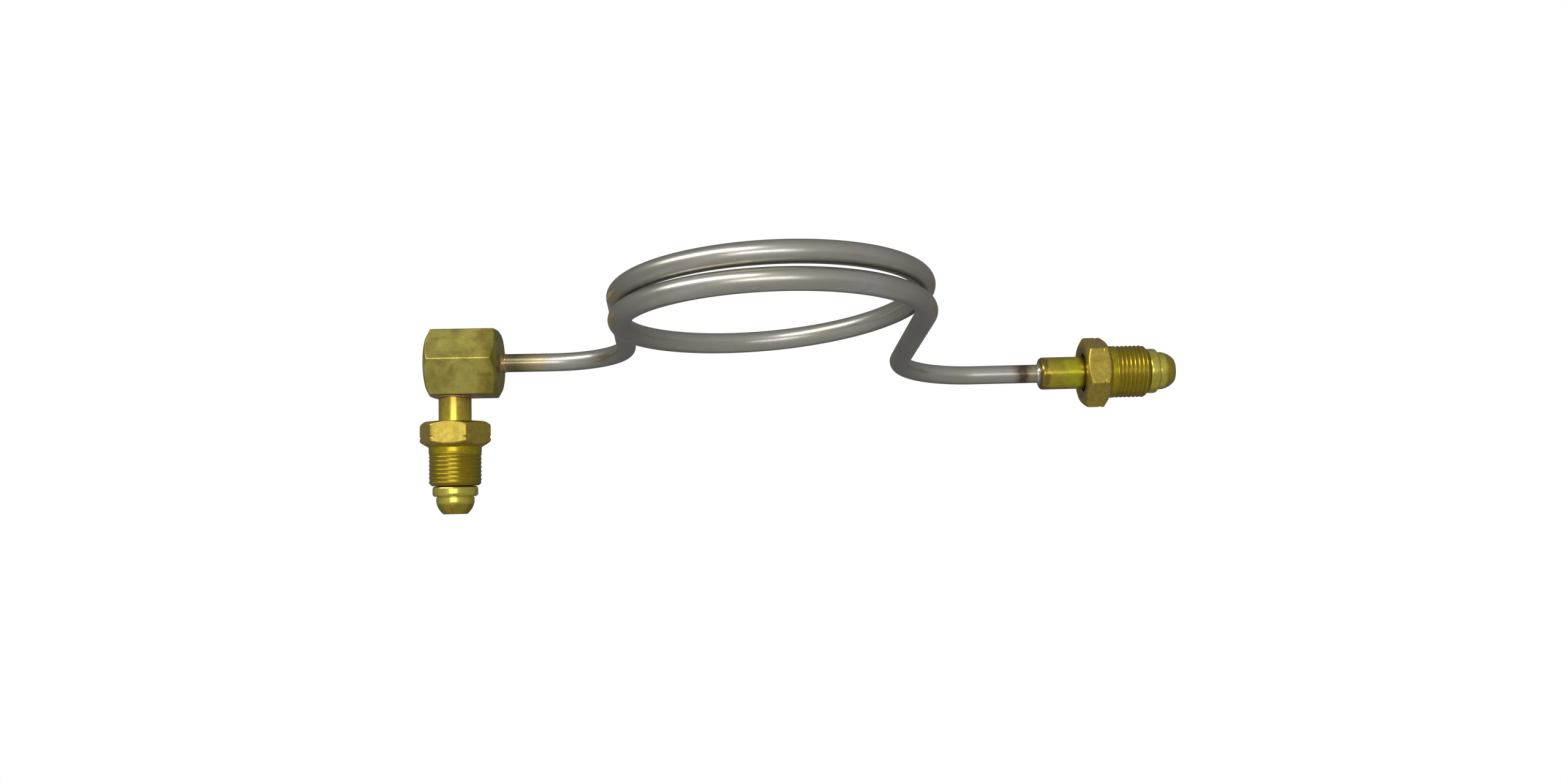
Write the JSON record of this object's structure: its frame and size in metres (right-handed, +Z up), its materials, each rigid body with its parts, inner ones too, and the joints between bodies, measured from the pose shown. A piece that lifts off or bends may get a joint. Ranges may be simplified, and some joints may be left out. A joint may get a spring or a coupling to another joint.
{
  "type": "coiled gas pigtail",
  "caption": "Rigid steel tube pigtail with one and a half turns, a brass elbow end and a straight brass end, each with a bullet nose and a loose nut.",
  "frame": {"origin": "centre of the shoulder at the root of the elbow nipple's bullet, its seat", "axes": "+Z up along the axis of the coil's loop, +X from the elbow end to the straight end, +Y from the front of the loop to its legs"},
  "size_m": [0.329, 0.1907, 0.0804],
  "materials": {
    "steel_tube": "satin, heat tinted near the brazed ends",
    "bar_brass": "milled, tarnished",
    "turned_brass": "turned, heat stained",
    "nut_brass": "satin, fine grain",
    "braze": "smooth, dull"
  },
  "bodies": {
    "pigtail": {"coil_tube": "steel_tube", "elbow_body": "bar_brass", "elbow_nipple": "turned_brass", "straight_nipple": "turned_brass", "elbow_tube_braze": "braze", "elbow_nipple_braze": "braze", "straight_nipple_braze": "braze"},
    "elbow_nut": {"elbow_nut": "nut_brass"},
    "straight_nut": {"straight_nut": "nut_brass"}
  },
  "joints": [
    {"name": "elbow_nut_spin", "type": "hinge", "parent": "pigtail", "child": "elbow_nut", "pos_m": [0, 0, 0], "axis": [-0.0382, 0.1097, -0.9932], "continuous": true},
    {"name": "straight_nut_spin", "type": "hinge", "parent": "pigtail", "child": "straight_nut", "pos_m": [0.30655, -0.01813, 0.03427], "axis": [0.9991, -0.0209, -0.0366], "continuous": true}
  ]
}
